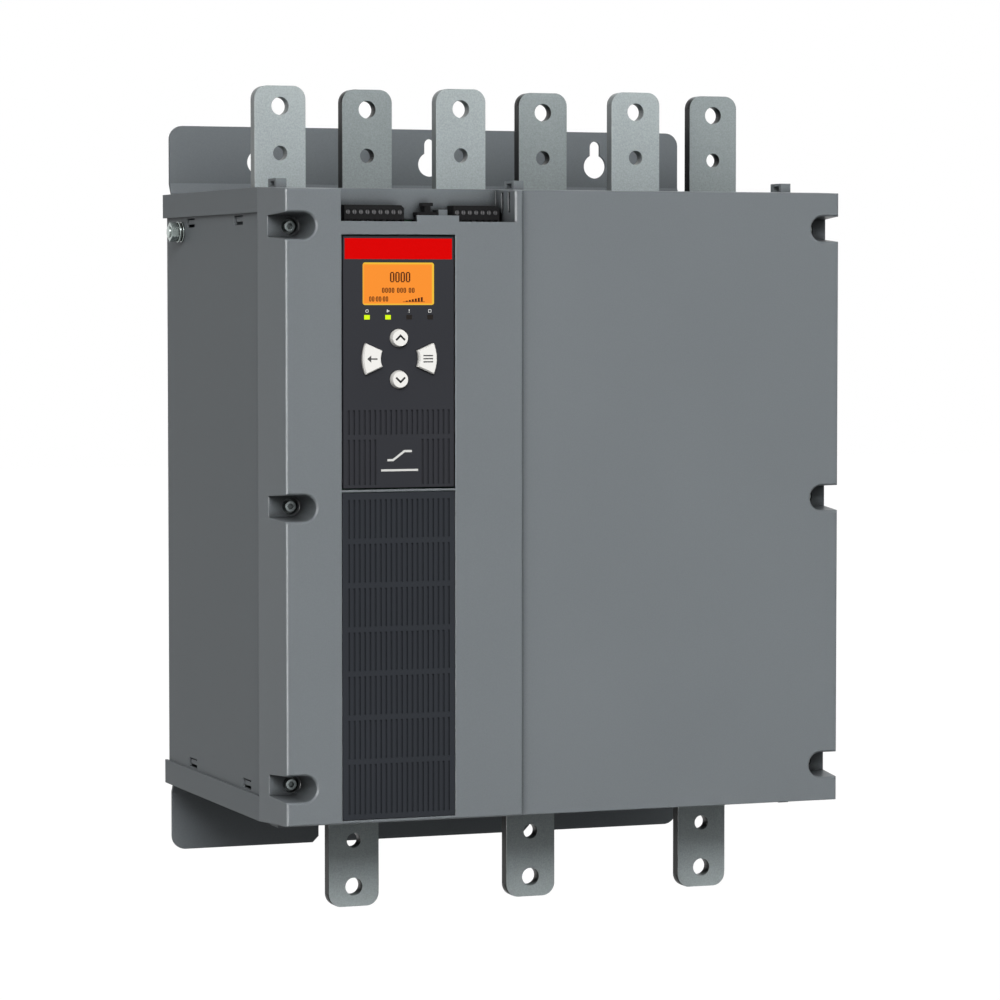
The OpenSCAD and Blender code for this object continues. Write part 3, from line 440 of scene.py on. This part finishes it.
# Header strip
# A glossy red inlay across the top of the keypad, one plain field of colour.
# It is let into the face of the housing.
red_inlay = grained("red_inlay", colour=(0.62, 0.0005, 0.0005), spread=0.03, cell=0.002,
                    rough=(0.25, 0.35), bump=0.00001, gloss=0.04)
dress(red_inlay, "header_strip")

# Display
# An amber window over a lit dot-matrix module, brighter where the light enters at its rim.
# The dots show a plain reading of zeros and a bar graph.
def lit(name, dim, bright, share_of):
    """A lit plastic face, whose glow runs from dim to bright as share_of(tree) goes from 0 to 1."""
    material = bpy.data.materials.new(name)
    material.use_nodes = True
    tree = material.node_tree
    surface = tree.nodes["Principled BSDF"]
    surface.inputs["Roughness"].default_value = 0.3
    surface.inputs["Specular IOR Level"].default_value = 0.05
    surface.inputs["Base Color"].default_value = (0.01, 0.01, 0.01, 1.0)
    colour = tree.nodes.new("ShaderNodeValToRGB")
    colour.color_ramp.elements[0].color = dim + (1.0,)
    colour.color_ramp.elements[1].color = bright + (1.0,)
    tree.links.new(share_of(tree), colour.inputs["Fac"])
    tree.links.new(colour.outputs["Color"], surface.inputs["Emission Color"])
    surface.inputs["Emission Strength"].default_value = 1.0
    return material


def rise(tree, value, low, high):
    """0 below low and 1 above high, or the other way round where high is the smaller."""
    ramp = tree.nodes.new("ShaderNodeMapRange")
    ramp.inputs["From Min"].default_value = low
    ramp.inputs["From Max"].default_value = high
    tree.links.new(value, ramp.inputs["Value"])
    return ramp.outputs["Result"]


def place_on(tree):
    """The place on the piece, split into its three coordinates."""
    where = tree.nodes.new("ShaderNodeTexCoord")
    split = tree.nodes.new("ShaderNodeSeparateXYZ")
    tree.links.new(where.outputs["Object"], split.inputs["Vector"])
    return split.outputs


lens_low, lens_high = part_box("display_lens")
RIM_LEFT = (0.00295, 0.00155)
RIM_RIGHT = (0.00345, 0.00245)
RIM_BELOW = (0.00295, 0.00175)
RIM_ABOVE = (0.00335, 0.00195)


def rim_share(tree):
    """1 at the rim of the window, 0 further in: each rim is the lens' edge and the distances from it."""
    at = place_on(tree)
    rims = [rise(tree, at["X"], *(lens_low[0] + inset for inset in RIM_LEFT)),
            rise(tree, at["X"], *(lens_high[0] - inset for inset in RIM_RIGHT)),
            rise(tree, at["Z"], *(lens_low[2] + inset for inset in RIM_BELOW)),
            rise(tree, at["Z"], *(lens_high[2] - inset for inset in RIM_ABOVE))]
    most = rims[0]
    for rim in rims[1:]:
        larger = tree.nodes.new("ShaderNodeMath")
        larger.operation = "MAXIMUM"
        tree.links.new(most, larger.inputs[0])
        tree.links.new(rim, larger.inputs[1])
        most = larger.outputs[0]
    return most


amber = lit("amber", (0.96, 0.280, 0.020), (0.88, 0.55, 0.04), rim_share)
dress(amber, "display_lens")
dress(fan_plastic, "display_module")
MM = 0.001
INK = 0.04 * MM


def printed(name, outlines, origin, material, body):
    """Print on a face that looks forward: a flat shape per outline, with points in mm from the origin."""
    ink = bmesh.new()
    for points in outlines:
        corners = [(origin[0] + x * MM, origin[1], origin[2] + z * MM) for x, z in points]
        ink.faces.new([ink.verts.new(corner) for corner in corners])
    front = bmesh.ops.extrude_face_region(ink, geom=ink.faces[:], use_keep_orig=True)
    bmesh.ops.translate(ink, vec=(0.0, -INK, 0.0),
                        verts=[v for v in front["geom"] if isinstance(v, bmesh.types.BMVert)])
    bmesh.ops.recalc_face_normals(ink, faces=ink.faces[:])
    mesh = bpy.data.meshes.new(name)
    ink.to_mesh(mesh)
    ink.free()
    mesh.materials.append(material)
    piece = bpy.data.objects.new(name, mesh)
    scene.collection.objects.link(piece)
    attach(piece, body)


def block(left, top, width, height):
    """A rectangle as an outline."""
    return [(left, top), (left + width, top), (left + width, top - height), (left, top - height)]


TALL_ZERO = ("  ########  ",) + ("####    ####",) * 7 + ("  ########  ",)
ZERO = (" ###### ",) + ("###  ###",) * 5 + (" ###### ",)
COLON = ("  ", "  ", "##", "  ", "##", "  ", "  ")
GAP = ("    ",) * 7
DOT_SHARE = 0.97


def dot_row(signs, left, top, step, rise_by):
    """Dot-matrix signs as outlines, one for each run of dots in a row."""
    runs = []
    for sign in signs:
        for row, line in enumerate(sign):
            at = 0
            while at < len(line):
                if line[at] == "#":
                    end = at
                    while end < len(line) and line[end] == "#":
                        end += 1
                    runs.append(block(left + at * step, top - row * rise_by,
                                      (end - at) * step * DOT_SHARE, rise_by * DOT_SHARE))
                    at = end
                at += 1
        left += (len(sign[0]) + 2) * step
    return runs


GRAPH_LEFT = 32.55
GRAPH_FOOT = -29.55
GRAPH_PITCH = 2.3
GRAPH_STEP = 0.5
middle_row = [ZERO] * 4 + [GAP] + [ZERO] * 3 + [GAP] + [ZERO] * 2
lower_row = [ZERO] * 2 + [COLON] + [ZERO] * 2 + [COLON] + [ZERO] * 2
readings = dot_row([TALL_ZERO] * 4, left=22.65, top=-8.35, step=0.29, rise_by=0.83)
readings += dot_row(middle_row, left=16.55, top=-19.75, step=0.25, rise_by=0.52)
readings += dot_row(lower_row, left=6.75, top=-26.05, step=0.22, rise_by=0.52)
readings += [block(GRAPH_LEFT + GRAPH_PITCH * n, GRAPH_FOOT + GRAPH_STEP * n, 1.5, 0.1 + GRAPH_STEP * n)
             for n in range(1, 7)]
readings += [block(GRAPH_LEFT, GRAPH_FOOT - 0.15, width=17.0, height=0.35)]
dots = grained("dots", colour=(0.06, 0.014, 0.006), spread=0.1, cell=0.001, rough=(0.5, 0.6),
               bump=0.00001, gloss=0.05)
printed("display_readings", readings, (lens_low[0], lens_low[1], lens_high[2]), dots, "starter")

# Status lights
# Four clear light pipes under the display, the left two lit.
# Each has a small white mark printed above it.
pad_low, pad_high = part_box("keypad_housing")
pad_middle = (pad_low[0] + pad_high[0]) / 2.0


def left_two(tree):
    """1 on the left half of the keypad, 0 on the right."""
    return rise(tree, place_on(tree)["X"], pad_middle + 0.5 * MM, pad_middle - 0.5 * MM)


light_pipe = lit("light_pipe", (0.012, 0.008, 0.006), (0.72, 1.0, 0.0), left_two)
dress(light_pipe, "status_lights")


def ring(x, z, outer, inner, parts):
    """A flat ring as outlines, one for each of its parts."""
    arcs = []
    for n in range(parts):
        a, b = (2.0 * math.pi * k / parts for k in (n, n + 1))
        arcs.append([(x + r * math.sin(t), z + r * math.cos(t)) for r, t in
                     ((outer, a), (outer, b), (inner, b), (inner, a))])
    return arcs


MARKS_RISE = 2.9 * MM
marks = ring(x=-24.25, z=0.0, outer=1.25, inner=0.8, parts=24)
marks += [[(-9.05, 1.2), (-6.85, 0.0), (-9.05, -1.2)]]
marks += [block(7.75, 1.25, 0.55, 1.6), block(7.75, -0.7, 0.55, 0.55)]
marks += [block(22.75, 1.2, 2.4, 0.45), block(22.75, -0.75, 2.4, 0.45)]
marks += [block(22.75, 0.74, 0.45, 1.48), block(24.7, 0.74, 0.45, 1.48)]
white_ink = grained("white_ink", colour=(0.62, 0.62, 0.60), spread=0.05, cell=0.001, rough=(0.5, 0.6),
                    bump=0.00001, gloss=0.1)
lights_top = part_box("status_lights")[1][2]
printed("light_marks", marks, (pad_middle, pad_low[1], lights_top + MARKS_RISE), white_ink, "starter")

# Name place
# Plain white print low on the housing.
# It shows the line of a voltage that ramps up, and a base line.
ramp_line = [(-8.85, 19.15), (-4.25, 19.15), (4.55, 25.55), (9.95, 25.55),
             (9.95, 27.15), (4.05, 27.15), (-4.75, 20.75), (-8.85, 20.75)]
base_line = block(left=-13.65, top=13.35, width=28.4, height=1.5)
printed("name_place", [ramp_line, base_line], (pad_middle, pad_low[1], pad_low[2]), white_ink, "starter")

# Buttons
# Four white moulded buttons on a rubber mat behind the housing, each with a printed sign:
# chevrons on the round ones, an arrow and three bars on the side ones.
# Painted shade darkens the sides of the buttons towards the housing.
button_white = grained("button_white", colour=(0.79, 0.78, 0.75), spread=0.02, cell=0.0012,
                       rough=(0.4, 0.5), bump=0.00002, gloss=0.06, painted_shade=[(0.008, 1.0)])
buttons = ("up_button", "down_button", "back_button", "menu_button")
dress(button_white, *buttons)
ease_edges(0.0005, 3, *buttons)
black_ink = grained("black_ink", colour=(0.012, 0.012, 0.013), spread=0.1, cell=0.001,
                    rough=(0.4, 0.5), bump=0.00001, gloss=0.1)
grey_ink = grained("grey_ink", colour=(0.07, 0.07, 0.07), spread=0.1, cell=0.001, rough=(0.4, 0.5),
                   bump=0.00001, gloss=0.1)


def sign(button, outlines, ink):
    """A sign printed on the middle of a button's face."""
    low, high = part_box(button)
    middle = ((low[0] + high[0]) / 2.0, low[1], (low[2] + high[2]) / 2.0)
    printed(button + "_mark", outlines, middle, ink, button)


CHEVRON = [(-3.9, -1.0), (0.0, 2.75), (3.9, -1.0), (2.95, -1.95), (0.0, 0.85), (-2.95, -1.95)]
sign("up_button", [CHEVRON], black_ink)
sign("down_button", [[(x, -z) for x, z in CHEVRON]], black_ink)
ARROW = [(-4.75, 0.0), (-1.75, 2.6), (-1.75, 0.5), (3.05, 0.5),
         (3.05, -0.5), (-1.75, -0.5), (-1.75, -2.6)]
sign("back_button", [ARROW], grey_ink)
sign("menu_button", [block(-3.15, 2.7 - 2.25 * n, 7.4, 0.9) for n in range(3)], grey_ink)
rubber = grained("rubber", colour=(0.5, 0.5, 0.48), spread=0.08, cell=0.001, rough=(0.6, 0.75),
                 bump=0.00003)
dress(rubber, "button_mat")

# Grooved panel
# A dark grey moulding with rows of narrow blind grooves.
# It is clipped into the lower opening of the cover.
panel_skin = grained("panel_skin", colour=(0.0245, 0.0275, 0.033), spread=0.12, cell=0.0007,
                     rough=(0.42, 0.55), bump=0.00004, gloss=0.1)
dress(panel_skin, "grooved_panel")
